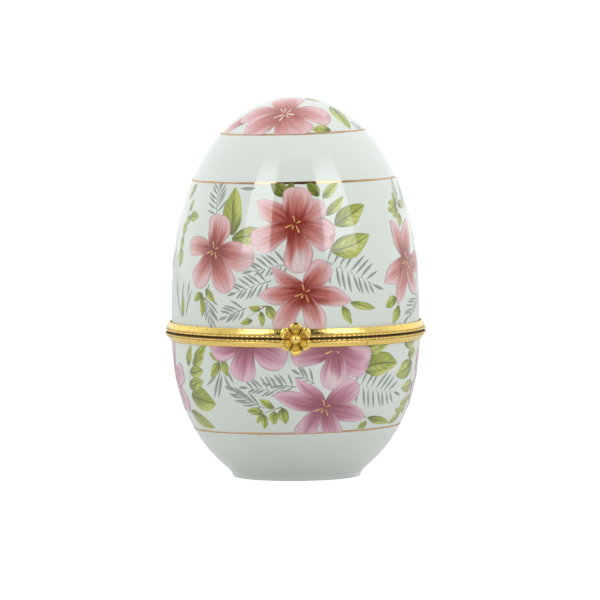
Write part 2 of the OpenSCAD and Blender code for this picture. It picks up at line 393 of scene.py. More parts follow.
def stamped_gilt():
    """Gold plating over stamped brass: pits that catch dark polish, brighter high spots, uneven gloss, and
    painted shade, nearly black and hardly metallic, on the deep points it is given.
    """
    tree, given, result = new_group(
        "stamped gilt",
        [("Gold", "Color", (0.9, 0.65, 0.2, 1)), ("Pits", "Color", (0.28, 0.12, 0.02, 1)),
         ("Painted Shade", "Float", 0.0), ("Grain", "Float", 1500), ("Depth", "Float", 0.5),
         ("Roughness", "Float", 0.2)],
        [("Color", "Color"), ("Normal", "Vector"), ("Roughness", "Float"), ("Metallic", "Float")])
    hammer = object_noise(tree, times(tree, given["Grain"], 0.28), 2)
    grain = object_noise(tree, given["Grain"], 3)
    relief = maths(tree, "ADD", hammer, times(tree, grain, 0.45))
    pits = fade(tree, relief, 0.62, 0.5)
    pitted = mix(tree, times(tree, pits, 0.55), given["Gold"], given["Pits"])
    # painted shade: the deep points turn nearly black and lose their metal
    tree.links.new(mix(tree, given["Painted Shade"], pitted, (0.065, 0.02, 0.006, 1)), result["Color"])
    tree.links.new(fade(tree, given["Painted Shade"], 0.0, 1.0, 1.0, 0.15), result["Metallic"])
    bump = add_node(tree, "Bump", {"Strength": given["Depth"], "Distance": 0.00012, "Height": relief})
    tree.links.new(bump.outputs[0], result["Normal"])
    gloss = fade(tree, relief, 0.5, 0.9, 1.4, 0.8)
    polish = times(tree, given["Painted Shade"], 0.5)
    shine = times(tree, given["Roughness"], gloss)
    tree.links.new(maths(tree, "ADD", shine, polish), result["Roughness"])
    return tree


glaze_group = kiln_glaze()
gilt_group = stamped_gilt()
print("node groups:", glaze_group.name, "and", gilt_group.name)

# %% Materials made from the groups
def place_group(tree, group, values, shader, links):
    """Places a node group with its own values and links its outputs to the shader."""
    node = tree.nodes.new("ShaderNodeGroup")
    node.node_tree = group
    for socket, value in values.items():
        node.inputs[socket].default_value = value
    for output, socket in links.items():
        tree.links.new(node.outputs[output], shader.inputs[socket])
    return node


GLAZE_LINKS = {"Normal": "Normal", "Roughness": "Roughness"}
STILL_GLAZE = {"Ripple": 0.25, "Roughness": 0.055}
CLEAR_COAT = {"Coat Weight": 0.35, "Coat Roughness": 0.03}


def porcelain():
    """White body with a breath of green-grey, under clear glaze."""
    material, tree, shader = new_material("glazed porcelain", {"IOR": 1.52, **CLEAR_COAT})
    place = add_node(tree, "TexCoord").outputs["Object"]
    cloud = noise(tree, place, 38, 3)
    body = mix(tree, fade(tree, cloud, 0.3, 0.7), (0.80, 0.845, 0.80, 1), (0.83, 0.87, 0.832, 1))
    speck = add_node(tree, "TexVoronoi", {"Vector": place, "Scale": 210}).outputs["Distance"]
    dots = times(tree, fade(tree, speck, 0.045, 0.03), 0.10)
    tree.links.new(mix(tree, dots, body, (0.45, 0.45, 0.4, 1)), shader.inputs["Base Color"])
    place_group(tree, glaze_group, STILL_GLAZE, shader, GLAZE_LINKS)
    return material


def gilt_brass(name, gold, grain, depth, roughness, shaded_valleys=False):
    """Gold-plated brass, from hammered to polished; its last argument reads how deep each point lies, and
    the deep points get painted shade.
    """
    material, tree, shader = new_material(name, {"Metallic": 1.0})
    values = {"Gold": gold, "Grain": grain, "Depth": depth, "Roughness": roughness}
    links = {"Color": "Base Color", "Metallic": "Metallic", **GLAZE_LINKS}
    node = place_group(tree, gilt_group, values, shader, links)
    if shaded_valleys:
        # painted shade: how deep each point lies darkens the gold there
        depth_of_point = add_node(tree, "Attribute", attribute_name="painted_shade").outputs["Fac"]
        tree.links.new(depth_of_point, node.inputs["Painted Shade"])
    return material


def fired_gold_line():
    """Burnished gold, painted on the glaze and fired, thin enough to be worn in places."""
    material, tree, shader = new_material("fired gold line", {"Metallic": 1.0, "IOR": 1.5})
    wear = object_noise(tree, 260, 4)
    tone = mix(tree, fade(tree, wear, 0.45, 0.75), (0.95, 0.71, 0.47, 1), (0.86, 0.58, 0.36, 1))
    tree.links.new(tone, shader.inputs["Base Color"])
    place_group(tree, glaze_group, {"Ripple": 0.3, "Roughness": 0.05}, shader, GLAZE_LINKS)
    return material


def setting_cement():
    """Matt, slightly grainy cement."""
    material, tree, shader = new_material("setting cement", {"Roughness": 0.9})
    grain = object_noise(tree, 2200, 4)
    tone = mix(tree, fade(tree, grain, 0.35, 0.65), (0.42, 0.36, 0.26, 1), (0.62, 0.56, 0.44, 1))
    tree.links.new(tone, shader.inputs["Base Color"])
    bump = add_node(tree, "Bump", {"Strength": 0.6, "Distance": 0.0001, "Height": grain})
    tree.links.new(bump.outputs[0], shader.inputs["Normal"])
    return material


porcelain_glaze = porcelain()
collar_gilt = gilt_brass("hammered gilt", (1.0, 0.72, 0.21, 1), 3000, 0.42, 0.15, shaded_valleys=True)
polished_gilt = gilt_brass("polished gilt", (1.0, 0.73, 0.22, 1), 900, 0.08, 0.09)
stamped_gold = gilt_brass("stamped gilt", (1.0, 0.71, 0.17, 1), 2600, 0.3, 0.13, shaded_valleys=True)
line_gold = fired_gold_line()
cement_paste = setting_cement()
print("materials:", [m.name for m in bpy.data.materials])

# %% [markdown]
# ## Porcelain shells
#
# Bowl and dome are each one turned profile: outside curve, rounded rim, inside curve. The bowl's
# floor flows into its wall, because slip never leaves a sharp inside corner. Its foot flares out
# smoothly in the last few millimetres, and only a ring of it touches the table, round a shallow
# hollow.

# %% Profiles of bowl and dome
rim_drop = 0.85  # rims stay this far from the parting plane
bowl_wall, dome_wall = 3.2, 2.8
floor_top = 5.0
foot_edge, foot_ring, foot_hollow = 0.5, 3.4, 0.8
edge_inset = 0.3
flare_out, flare_top, flare_power = 2.1, 3.2, 2.6  # how far, how high and how sharply the foot flares


def bowl_profile():
    """From the middle of the sole round the outside, over the rim and down to the floor inside."""
    rim_z = seam_z - rim_drop
    ring_r = foot_r - foot_ring
    sole = [(0, foot_hollow), (ring_r - foot_hollow, foot_hollow), (ring_r, 0)]
    edge = arc_points((foot_r - edge_inset - foot_edge, foot_edge), foot_edge, -90, -10, 6)
    rise = [foot_edge + (rim_z - foot_edge) * (i / 100) ** 1.25 for i in range(101)]
    outside = [(egg_radius(z) + flare_out * max(0.0, 1 - z / flare_top) ** flare_power, z) for z in rise]
    drop = [rim_z * (1 - i / 60) for i in range(61)]
    inside = [(egg_radius(z, bowl_wall), (z ** 5 + floor_top ** 5) ** 0.2) for z in drop]
    return sole + edge + outside + inside + [(0, floor_top)]


def dome_profile():
    """From the inside of the crown down to the rim and up the outside."""
    rim_z = seam_z + rim_drop

    def crown(wall, count):
        top = top_z - wall
        rise = [rim_z + (top - rim_z) * math.sin(math.pi / 2 * i / count) for i in range(count)]
        return [(egg_radius(z, wall), z) for z in rise] + [(0, top)]

    return crown(dome_wall, 70)[::-1] + crown(0, 110)


def make_shell(name, body, node, profile):
    """Turns a shell and rounds the corners that its profile leaves at the rim and under the foot."""
    bm = turn(profile)
    corners = [edge for edge in bm.edges if edge.calc_face_angle(0.0) > math.radians(40)]
    bmesh.ops.bevel(bm, geom=corners, offset=0.3, affect="EDGES", segments=3, profile=0.5, material=-1)
    finish_piece(bm, name, body, porcelain_glaze, [node], sharp=70)


make_shell("bowl", "base", "base_shell", bowl_profile())
make_shell("dome", "lid", "lid_shell", dome_profile())

# %% [markdown]
# ## Collars
#
# Each collar is a stamped strip: a milled bead along the edge that meets the other collar, a
# narrow groove, a plain hammered band and a small rolled edge over the glaze. Inside, a flange
# covers the porcelain rim and a lip turns up behind it. Behind the beads the two flanges all but
# meet on a raised landing, and painted shade, nearly black, on its edge draws the line between the
# beads; the groove and the notches get a lighter painted shade. The profile is turned in fine
# steps, six for each notch of the milling, and then the bead's points are pushed in at every sixth step.

# %% Collar profile and milling
strip_t = 0.45  # thickness of the metal
flange_top = half_gap + 0.5
lip_top = flange_top + 1.2
bead_h, bead_top = 0.44, half_gap + 0.55
groove_top = half_gap + 0.71
landing_gap = 0.03  # half of what is left between the two landings
landing_r = bead_r - 1.0
seat_drop = 0.15  # the bowl's seat reaches past the parting plane
roll_r = 0.16
notches, notch_steps, notch_depth = 150, 6, 0.2
notch_reach = 0.4  # how far in from the bead's outside the notches reach
seam_shade_top, seam_shade_fade = half_gap + 0.22, 0.14  # painted shade in the seam, nearly black, fades out up the bead
groove_shade, notch_shade = 0.25, 0.5  # painted shade in the groove and on the notches, against 1 in the seam
lid_collar_h, bowl_collar_h = 2.5, 2.3
lid_edge_gap, bowl_edge_gap = 0.45, 0.1  # from the glaze to the inside of each collar's edge
lip_clearance = 0.15


def collar_profile(edge_r, height, lip_r, seated):
    """Half profile of a collar above the parting plane; seated adds the seat that the lid rests on."""
    bead_c = (bead_r - bead_h / 2 - 0.01, bead_top - bead_h / 2)
    landing = [(bead_r - 2.8, half_gap), (bead_r - 2.65, landing_gap), (landing_r - 0.1, landing_gap),
               (landing_r, landing_gap), (landing_r + 0.05, bead_c[1] - bead_h / 2)]
    bead = arc_points(bead_c, bead_h / 2, -90, 90, 8)
    groove = [(bead_r - 0.62, bead_top + 0.02), (bead_r - 0.62, groove_top)]
    band = [(bead_r - 0.36, groove_top + 0.05), (bead_r - 0.34, groove_top + 0.15),
            (edge_r + 0.09, height - 0.34)]
    roll = arc_points((edge_r - roll_r, height - roll_r), roll_r, -20, 110, 5)
    back = [(edge_r - strip_t, height - 0.02), (bead_r - 0.8, flange_top), (lip_r, flange_top),
            (lip_r, lip_top), (lip_r - strip_t, lip_top), (lip_r - strip_t, half_gap)]
    seat = []
    if seated:
        near, far = lip_r + 0.15, lip_r + 1.05
        seat = [(near, half_gap), (near, -seat_drop), (far, -seat_drop), (far, half_gap)]
    return seat + landing + bead + groove + band + roll + back


def make_collar(name, body, node, edge_r, height, lip_r, on_lid):
    """Turns a collar, mills its bead and marks how deep each point lies, for painted shade in the seam,
    the groove and the notches.
    """
    bm = turn(collar_profile(edge_r, height, lip_r, not on_lid), notches * notch_steps, closed=True)
    painted_shade = bm.verts.layers.float.new("painted_shade")
    for vert in bm.verts:
        r = math.hypot(vert.co.x, vert.co.y)
        # painted shade: nearly black in the seam, lighter in the groove and on the notches
        in_gap = min(1.0, max(0.0, (seam_shade_top - vert.co.z) / seam_shade_fade)) * (r > landing_r - 0.05)
        in_groove = r < bead_r - 0.3 and half_gap + 0.5 < vert.co.z < half_gap + 0.8
        vert[painted_shade] = max(in_gap, groove_shade * in_groove)
        out = (r - bead_r + notch_reach) / notch_reach
        if out > 0 and vert.co.z < bead_top + 0.02:
            turned = math.atan2(vert.co.y, vert.co.x) / (2 * math.pi) * notches
            notch = max(0.0, math.cos(2 * math.pi * turned)) ** 4
            vert[painted_shade] = max(vert[painted_shade], notch_shade * notch)
            squeeze = 1 - notch_depth * notch * out / r
            vert.co.x *= squeeze
            vert.co.y *= squeeze
    if not on_lid:
        bmesh.ops.scale(bm, vec=(1, 1, -1), verts=bm.verts)
        bmesh.ops.reverse_faces(bm, faces=bm.faces)
    bmesh.ops.translate(bm, vec=(0, 0, seam_z), verts=bm.verts)
    finish_piece(bm, name, body, collar_gilt, [node], sharp=50)


lid_lip_r = egg_radius(seam_z + rim_drop, dome_wall) - lip_clearance
bowl_lip_r = egg_radius(seam_z - rim_drop, bowl_wall) - lip_clearance
lid_edge_r = belly_r + lid_edge_gap + strip_t
bowl_edge_r = egg_radius(seam_z - rim_drop) + bowl_edge_gap + strip_t
make_collar("lid_rim_collar", "lid", "lid_collar", lid_edge_r, lid_collar_h, lid_lip_r, True)
make_collar("bowl_rim_collar", "base", "base_collar", bowl_edge_r, bowl_collar_h, bowl_lip_r, False)

# %% [markdown]
# ## Catch rosette
#
# The catch hides behind a stamped flower with six petals. It starts as a turned disc, lying on
# its back; each point is then moved by its angle: outwards to give the petals their round tips, and
# up or down to give them a rolled rim, a hollow and fine ribs. A point at the middle stays put, so
# the disc stays closed. At the end the disc is stood up and brought to the front of the collar.

# %% Rosette and its boss
rosette_r = 4.3
rosette_back = -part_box("catch_rosette")[1].y / MM  # how far its back stands out from the axis
boss_face = -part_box("catch_rivet")[0].y / MM
rosette_z = (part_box("catch_rosette")[0].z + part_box("catch_rosette")[1].z) / 2 / MM
petal_count, ribs_per_petal = 6, 5
petal_r = rosette_r / 3 * 1.16  # each petal ends in a circle
petal_at = rosette_r - petal_r
face_top, face_middle, face_low = 0.62, 0.5, 0.12  # heights of the rosette's face over its back
rings = 26
boss_r, boss_step, boss_dome_r, boss_roll_r = 1.4, 0.62, 1.2, 0.16


def across_petal(angle):
    """Where an angle lies in its petal, from -0.5 to 0.5."""
    return (angle / (2 * math.pi) * petal_count + 0.5) % 1 - 0.5


def hump(value, middle, spread):
    """A bell curve: 1 at the middle, near 0 at two spreads from it."""
    return math.exp(-((value - middle) / spread) ** 2)


def petal_edge(angle):
    """Radius of the rosette's outline at an angle, as a share of its largest radius."""
    around = across_petal(angle) * 2 * math.pi / petal_count
    reach = petal_at * math.cos(around) + math.sqrt(petal_r ** 2 - (petal_at * math.sin(around)) ** 2)
    return reach / rosette_r


def petal_valley_shade(share, angle):
    """How deep a point of the rosette's face lies in a cut, between two ribs and in a ring round the boss,
    from 0 to 1; it gets painted shade there.
    """
    around = across_petal(angle)
    cut = hump(2 * abs(around), 1, 0.11) * min(1.0, share * 1.8)
    between_ribs = (0.5 - 0.5 * math.cos(around * 2 * math.pi * ribs_per_petal)) * (0.22 < share < 0.84)
    return min(1.0, 0.9 * cut + 0.3 * between_ribs + 0.3 * hump(share, 0.3, 0.07))


def petal_relief(share, angle):
    """Height of the rosette's face at a share of the way to its outline."""
    around = across_petal(angle)
    side = 2 * abs(around)
    dome = face_top - 0.42 * share ** 1.5
    cut = 0.46 * hump(side, 1, 0.12) * min(1.0, share * 1.6)
    rim = 0.22 * hump(share, 0.9, 0.1) + 0.16 * hump(side, 0.8, 0.1) * share
    ribs = 0.12 * math.cos(around * 2 * math.pi * ribs_per_petal) * min(1.0, 3.2 * share) * (share < 0.86)
    hollow = 0.14 * hump(share, 0.62, 0.22) * (1 - side)
    return dome - cut + rim + ribs - hollow


def stand_up(bm, centre_z, out):
    """Turns a piece lying face up to face the front, its back at distance out from the axis."""
    bmesh.ops.rotate(bm, matrix=Matrix.Rotation(math.radians(90), 3, "X"), verts=bm.verts)
    bmesh.ops.translate(bm, vec=(0, -out, centre_z), verts=bm.verts)


face_line = [(0, face_top)] + [(i / rings, face_middle) for i in range(1, rings + 1)]
back_line = [(1.0, 0.0), (0.8, 0.0), (0, 0.0)]
rosette_bm = turn(face_line + back_line, petal_count * 40)
painted_shade = rosette_bm.verts.layers.float.new("painted_shade")
for vert in rosette_bm.verts:
    share = math.hypot(vert.co.x, vert.co.y)
    angle = math.atan2(vert.co.x, vert.co.y)
    # painted shade on the rosette's cuts, between its ribs and in the ring round its boss
    vert[painted_shade] = petal_valley_shade(share, angle)
    if vert.co.z > 0.1:
        vert.co.z = max(face_low, petal_relief(share, angle)) if share > 0 else face_middle
    reach = rosette_r * petal_edge(angle)
    vert.co.x *= reach
    vert.co.y *= reach
stand_up(rosette_bm, rosette_z, rosette_back)
finish_piece(rosette_bm, "rosette", "catch", stamped_gold, ["catch_rosette"], sharp=60)

boss_high = boss_face - rosette_back
boss_line = [(0, 0), (boss_r * 0.8, 0), (boss_r, 0.45), (boss_r, boss_step)]
boss_line += arc_points((boss_r - boss_roll_r, boss_step), boss_roll_r, 0, 60, 3)
boss_line += arc_points((0, boss_high - boss_dome_r), boss_dome_r, -12, 87, 16) + [(0, boss_high)]
boss_bm = turn(boss_line, 72)
stand_up(boss_bm, rosette_z, rosette_back)
finish_piece(boss_bm, "rosette_boss", "catch", polished_gilt, ["catch_rivet"])

# %% CAD pieces that are shown as they are
shown_as_is = {"hinge_pin": polished_gilt, "base_cement": cement_paste, "lid_cement": cement_paste}
for node in ("catch_tongue", "tongue_pad", "catch_stud", "base_hinge_leaf", "lid_hinge_leaf"):
    shown_as_is[node] = collar_gilt
for node, material in shown_as_is.items():
    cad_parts[node].data.materials.clear()
    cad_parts[node].data.materials.append(material)
print("shown as they are:", sorted(shown_as_is))

# %% [markdown]
# ## Gilt lines
#
# Three hair lines of fired gold ring the egg. They were painted by hand on a wheel, so each one is
# a little out of true: the ring follows the glaze, but its height leans from one side to the other.

# %% Painted rings: height at the front, lean to the right, width
lid_line = (78.5, 0.25, 0.58)
cap_line = (90.85, 0.4, 0.62)
bowl_line = (13.4, 0.42, 0.55)
line_lift, line_t = 0.035, 0.09


def gilt_ring(line, name, body):
    """A closed band of gold that follows the egg."""
    bm = bmesh.new()
    height, lean, width = line
    around, across = 360, 4
    rows = []
    for i in range(around):
        angle = 2 * math.pi * i / around
        middle = arc_at(height + lean * math.sin(angle))
        swell = width * (1 + 0.18 * math.sin(3 * angle + 1) + 0.1 * math.sin(11 * angle))
        rows.append([bm.verts.new(on_egg(angle, middle + swell * (j / across - 0.5), line_lift))
                     for j in range(across + 1)])
    for one, two in zip(rows, rows[1:] + rows[:1]):
        for j in range(across):
            bm.faces.new((one[j], one[j + 1], two[j + 1], two[j]))
    bmesh.ops.solidify(bm, geom=bm.faces[:], thickness=line_t)
    finish_piece(bm, name, body, line_gold)


gilt_ring(lid_line, "lid_gold_line", "lid")
gilt_ring(cap_line, "cap_gold_line", "lid")
gilt_ring(bowl_line, "bowl_gold_line", "base")

# %% [markdown]
# ## Transfer prints
#
# The flowers were printed on a film and slid onto the glaze before the last firing, so each petal and
# leaf is a skin with a thickness of its own that follows the egg. Every shape is one grid. It is bent
# and tapered on paper, then wrapped: across the paper becomes an angle round the egg, and up the
# paper becomes a distance along its curve. Where two shapes cross, each lies at its own height.
#
# Each point remembers where it lies in its shape (across, along, a seed), in an attribute
# called print. The colours are painted from that attribute, so that veins follow a bent petal,
# which no texture laid over the whole egg could do.

# %% Wrapping paper round the egg
def on_side(angle, z):
    """A place on the egg's side. It turns (x, y, lift) on flat paper there into a point on the egg."""
    turned, arc = math.radians(angle), arc_at(z)

    def wrap(x, y, lift):
        here = arc - y
        radius = np.interp((arc + here) / 2, arcs, radii)
        return on_egg(turned + x / radius, here, lift)

    return wrap


def on_crown(x, front, turned=0.0):
    """A place near the top, given from above as distances to the right and to the front."""
    def wrap(dx, dy, lift):
        right, near = x + dx, front - dy
        return on_egg(math.atan2(right, near) + turned, math.hypot(right, near), lift)

    return wrap


# %% Shapes of petals and leaves: half width at a share t of the length, from 0 to 1
def petal_form(scale, power, sharpness):
    """A petal is widest near its tip for a high power; a high sharpness draws out the tip."""
    return lambda t: scale * t ** 0.5 * (1 - t ** power) ** sharpness


rounded = petal_form(1.31, 5, 0.5)
pointed = petal_form(1.7, 2.2, 0.9)
thin_tip = petal_form(2.4, 1, 0.9)
two_lobed = petal_form(1.25, 7, 0.5)


def leaf_form(t):
    return 1.04 * math.sin(math.pi * t ** 0.85) ** 0.85


def blade(t):
    return math.sin(math.pi * t ** 1.2) ** 0.8


def stalk(t):
    return 1 - 0.55 * t


def anther(t):
    return (0.45 + 0.55 * t ** 4) * (1 - t ** 12)


film_t = 0.2


class Print:
    """All shapes of one colour on one piece of the box. Each shape lies a step over the one before."""

    def __init__(self, name, body, material, base_lift, step):
        self.name, self.body, self.material = name, body, material
        self.lift, self.step, self.base_lift = base_lift, step, base_lift
        self.bm = bmesh.new()
        self.lay = self.bm.verts.layers.float_vector.new("print")
        self.chance = random.Random(name)

    def add(self, place, heading, length, width, form, bend=0.0, start=(0, 0), notch=0.0, accent=False,
            cells=(8, 14)):
        """Adds a shape whose base lies at start and whose tip points along heading, in degrees.

        Bend turns the tip further, in radians; notch splits the tip; accent marks the seed, for a
        pale heart or a dark leaf.
        """
        grid = bmesh.ops.create_grid(self.bm, x_segments=cells[0], y_segments=cells[1], size=1)["verts"]
        seed, heading = self.chance.random() + 2 * accent, math.radians(heading)
        wave = self.chance.uniform(-1, 1)
        for vert in grid:
            u = vert.co.x
            t = min(1.0, max(0.0, 0.5 - 0.5 * math.cos(math.pi * (vert.co.y + 1) / 2)))
            half = width / 2 * form(t) if 0 < t < 1 or form is stalk else 0.0
            ripple = 1 + 0.07 * math.sin(9 * t + 6 * seed + 2 * u) * (form is not stalk)
            x = u * half * ripple + 0.06 * width * wave * math.sin(math.pi * t)
            y = t * length - notch * length * (1 - abs(u)) * t ** 6
            turned = heading + bend * t
            side = Vector((math.sin(turned), -math.cos(turned)))
            spine = Vector((math.cos(heading + bend * t / 2), math.sin(heading + bend * t / 2)))
            flat = Vector(start) + spine * y + side * x
            vert[self.lay] = (u, t, seed)
            vert.co = place(flat.x, flat.y, self.lift)
        self.lift += self.step

    def trim(self, line, keep_below):
        """Cuts everything above or below a line, given like a gilt line, as the film was cut."""
        height, lean = line[0], math.atan2(line[1], belly_r)
        normal = Vector((-math.sin(lean), 0, math.cos(lean))) * (1 if keep_below else -1)
        geometry = self.bm.verts[:] + self.bm.edges[:] + self.bm.faces[:]
        bmesh.ops.bisect_plane(self.bm, geom=geometry, dist=1e-5, plane_co=(0, 0, height),
                               plane_no=normal, clear_outer=True)

    def finish(self):
        """Clears the cuts' leftovers, turns all faces outwards and gives the film its thickness."""
        bmesh.ops.remove_doubles(self.bm, verts=self.bm.verts, dist=3e-5)
        loose = [edge for edge in self.bm.edges if not edge.link_faces]
        bmesh.ops.delete(self.bm, geom=loose, context="EDGES")
        bmesh.ops.recalc_face_normals(self.bm, faces=self.bm.faces)
        for face in self.bm.faces[:]:
            if face.normal.dot(face.calc_center_median() - Vector((0, 0, belly_z))) < 0:
                face.normal_flip()
        bmesh.ops.solidify(self.bm, geom=self.bm.faces[:], thickness=film_t)
        finish_piece(self.bm, self.name, self.body, self.material, sharp=60)


# %% [markdown]
# ## Printing inks
#
# Petals and leaves have their own groups, because the lid's rose flowers and the bowl's violet ones
# differ only in colour. Both groups read the print attribute: streaks are noise that is squeezed
# across the petal and stretched along it, and a vein is where that noise crosses a threshold.

# %% Groups for petals and leaves
def print_place(tree):
    """Across (-1 to 1), along (0 to 1) and seed of the shape that is being painted."""
    attribute = add_node(tree, "Attribute", attribute_name="print", attribute_type="GEOMETRY")
    parts = add_node(tree, "SeparateXYZ", {0: attribute.outputs["Vector"]}).outputs
    return parts[0], parts[1], parts[2]


def streaks(tree, across, along, seed, crosswise, lengthwise):
    """Noise drawn out along a shape."""
    parts = {0: times(tree, across, crosswise), 1: times(tree, along, lengthwise),
             2: times(tree, seed, 37.0)}
    return noise(tree, add_node(tree, "CombineXYZ", parts).outputs[0], 1.0, 2.5)


def painted_petal():
    """A petal: dark throat, flushed middle, pale rim, fine veins, a midrib and a thin drawn outline."""
    tree, given, result = new_group(
        "painted petal",
        [("Throat", "Color", (0.4, 0.05, 0.06, 1)), ("Body", "Color", (0.68, 0.2, 0.2, 1)),
         ("Edge", "Color", (0.9, 0.6, 0.6, 1)), ("Vein", "Color", (0.4, 0.1, 0.16, 1))],
        [("Color", "Color")])
    across, along, seed = print_place(tree)
    side = maths(tree, "ABSOLUTE", across)
    broad = streaks(tree, across, along, seed, 2.6, 0.9)
    shift = times(tree, maths(tree, "SUBTRACT", broad, 0.5), 0.7)
    reach = maths(tree, "ADD", along, shift)
    colour = mix(tree, fade(tree, reach, 0.1, 0.55), given["Throat"], given["Body"])
    outward = maths(tree, "ADD", reach, times(tree, maths(tree, "POWER", side, 2.0), 0.45))
    colour = mix(tree, fade(tree, outward, 0.46, 1.06), colour, given["Edge"])
    pale = maths(tree, "GREATER_THAN", seed, 1.5)
    heart = times(tree, fade(tree, reach, 0.42, 0.72), fade(tree, reach, 1.1, 0.85))
    heart = times(tree, heart, fade(tree, side, 0.75, 0.2))
    heart = times(tree, times(tree, heart, pale), 0.75)
    colour = mix(tree, heart, colour, (0.9, 0.8, 0.78, 1))
    fine = streaks(tree, across, along, seed, 9.0, 1.3)
    veins = times(tree, fade(tree, fine, 0.5, 0.68), fade(tree, along, 1.0, 0.2, 0.12, 0.6))
    midrib = times(tree, fade(tree, side, 0.13, 0.0), fade(tree, along, 0.85, 0.35, 0.0, 0.6))
    drawn = times(tree, fade(tree, side, 0.84, 1.0), fade(tree, broad, 0.35, 0.65, 0.1, 0.6))
    tip = fade(tree, along, 0.95, 1.0, 0.0, 0.4)
    lines = maths(tree, "MAXIMUM", veins, midrib)
    ink = maths(tree, "MAXIMUM", lines, maths(tree, "MAXIMUM", drawn, tip))
    tree.links.new(mix(tree, ink, colour, given["Vein"]), result["Color"])
    return tree


def painted_leaf():
    """A leaf: dark towards the stalk and down the midrib, side veins that slant forward, a light tip."""
    tree, given, result = new_group(
        "painted leaf",
        [("Shadow", "Color", (0.09, 0.15, 0.04, 1)), ("Body", "Color", (0.42, 0.49, 0.12, 1)),
         ("Light", "Color", (0.62, 0.68, 0.3, 1))],
        [("Color", "Color")])
    across, along, seed = print_place(tree)
    side = maths(tree, "ABSOLUTE", across)
    wash = streaks(tree, across, along, seed, 2.2, 2.2)
    lit = maths(tree, "ADD", wash, times(tree, across, 0.16))
    colour = mix(tree, fade(tree, lit, 0.4, 0.66), given["Body"], given["Light"])
    base = maths(tree, "ADD", along, times(tree, maths(tree, "SUBTRACT", wash, 0.5), 0.8))
    colour = mix(tree, fade(tree, base, 0.5, 0.0, 0.0, 0.75), colour, given["Shadow"])
    slant = maths(tree, "SUBTRACT", times(tree, along, 5.5), times(tree, side, 1.7))
    beat = maths(tree, "ABSOLUTE", maths(tree, "SUBTRACT", maths(tree, "FRACT", slant), 0.5))
    ribs = times(tree, fade(tree, beat, 0.16, 0.03), fade(tree, side, 0.95, 0.5, 0.0, 0.42))
    midrib = fade(tree, side, 0.14, 0.03, 0.0, 0.75)
    border = times(tree, fade(tree, side, 0.78, 1.0), fade(tree, across, 0.4, -0.4, 0.1, 0.55))
    ink = maths(tree, "MAXIMUM", maths(tree, "MAXIMUM", ribs, midrib), border)
    colour = mix(tree, ink, colour, given["Shadow"])
    dark = times(tree, maths(tree, "GREATER_THAN", seed, 1.5), 0.62)
    tree.links.new(mix(tree, dark, colour, given["Shadow"]), result["Color"])
    return tree


petal_group = painted_petal()
leaf_group = painted_leaf()
print("node groups:", petal_group.name, "and", leaf_group.name)

# %% Inks under the glaze
def ink_material(name, group=None, colours=None, plain=None):
    """Printed colour with the same glaze over it as the porcelain."""
    material, tree, shader = new_material(name, {"IOR": 1.68, **CLEAR_COAT})
    if group:
        place_group(tree, group, colours, shader, {"Color": "Base Color"})
    else:
        across, along, seed = print_place(tree)
        tone = maths(tree, "ADD", times(tree, along, 0.6), times(tree, seed, 0.4))
        tree.links.new(mix(tree, tone, *plain), shader.inputs["Base Color"])
    place_group(tree, glaze_group, STILL_GLAZE, shader, GLAZE_LINKS)
    return material


rose_ink = ink_material("rose petals", petal_group, {
    "Throat": (0.28, 0.036, 0.022, 1), "Body": (0.64, 0.205, 0.175, 1),
    "Edge": (0.87, 0.58, 0.60, 1), "Vein": (0.34, 0.07, 0.08, 1)})
cap_ink = ink_material("crown petals", petal_group, {
    "Throat": (0.45, 0.10, 0.085, 1), "Body": (0.70, 0.27, 0.25, 1),
    "Edge": (0.87, 0.58, 0.60, 1), "Vein": (0.42, 0.12, 0.13, 1)})
violet_ink = ink_material("violet petals", petal_group, {
    "Throat": (0.33, 0.075, 0.115, 1), "Body": (0.59, 0.215, 0.31, 1),
    "Edge": (0.84, 0.55, 0.66, 1), "Vein": (0.31, 0.09, 0.15, 1)})
leaf_ink = ink_material("leaf green", leaf_group, {
    "Shadow": (0.075, 0.105, 0.025, 1), "Body": (0.41, 0.45, 0.065, 1), "Light": (0.62, 0.66, 0.17, 1)})
fern_ink = ink_material("fern grey", plain=((0.27, 0.30, 0.265, 1), (0.42, 0.455, 0.42, 1)))
stamen_ink = ink_material("stamen amber", plain=((0.74, 0.30, 0.11, 1), (0.97, 0.66, 0.30, 1)))
cream_ink = ink_material("stamen cream", plain=((0.82, 0.52, 0.40, 1), (0.97, 0.86, 0.72, 1)))
inks = (rose_ink, cap_ink, violet_ink, leaf_ink, fern_ink, stamen_ink, cream_ink)
print("inks:", [ink.name for ink in inks])

# %% [markdown]
# ## Composition
#
# A flower is a list of petals, each with a heading (0 is right, 90 is up), a length and a width. The
# same spray is printed twice, on the front and on the back, as one film would be used twice. The
# places are angles from the front in degrees and heights above the table. A separate calculation gave
# them from where each petal, leaf and frond starts and ends, and some were rounded or adjusted after it.

# %% Flowers: angle and height of the middle, then heading, length, width and form of each petal
# A third number beside the middle is the count of its stamens, where that is not five.
LID_FLOWERS = [
    ((0, 68), [(36, 9.5, 5.5, rounded), (147, 12, 6.5, pointed), (-152, 12.5, 7, rounded),
               (82, 10, 8.5, rounded), (-24, 11, 8, two_lobed), (-84, 12.8, 7.4, rounded, "pale")]),
    ((-42, 61), [(172, 10.5, 5.5, rounded), (87, 9.5, 8, rounded), (-12, 12.5, 7.5, rounded),
                 (-120, 11.5, 6.5, rounded), (-63, 12, 7, rounded)]),
    ((4, 50.3), [(144, 11, 4.5, thin_tip), (-176, 12, 5.5, pointed), (50, 10, 6.5, rounded),
                 (-12, 13, 5.5, pointed), (-126, 12, 5.5, rounded), (-64, 10.7, 5.8, rounded)]),
    ((65, 57.5), [(117, 12, 5, pointed), (67, 12, 6, pointed), (-154, 12, 6, pointed),
                  (-6, 13, 6, rounded), (-116, 12.5, 5.5, pointed), (-59, 10, 5.5, rounded)]),
]
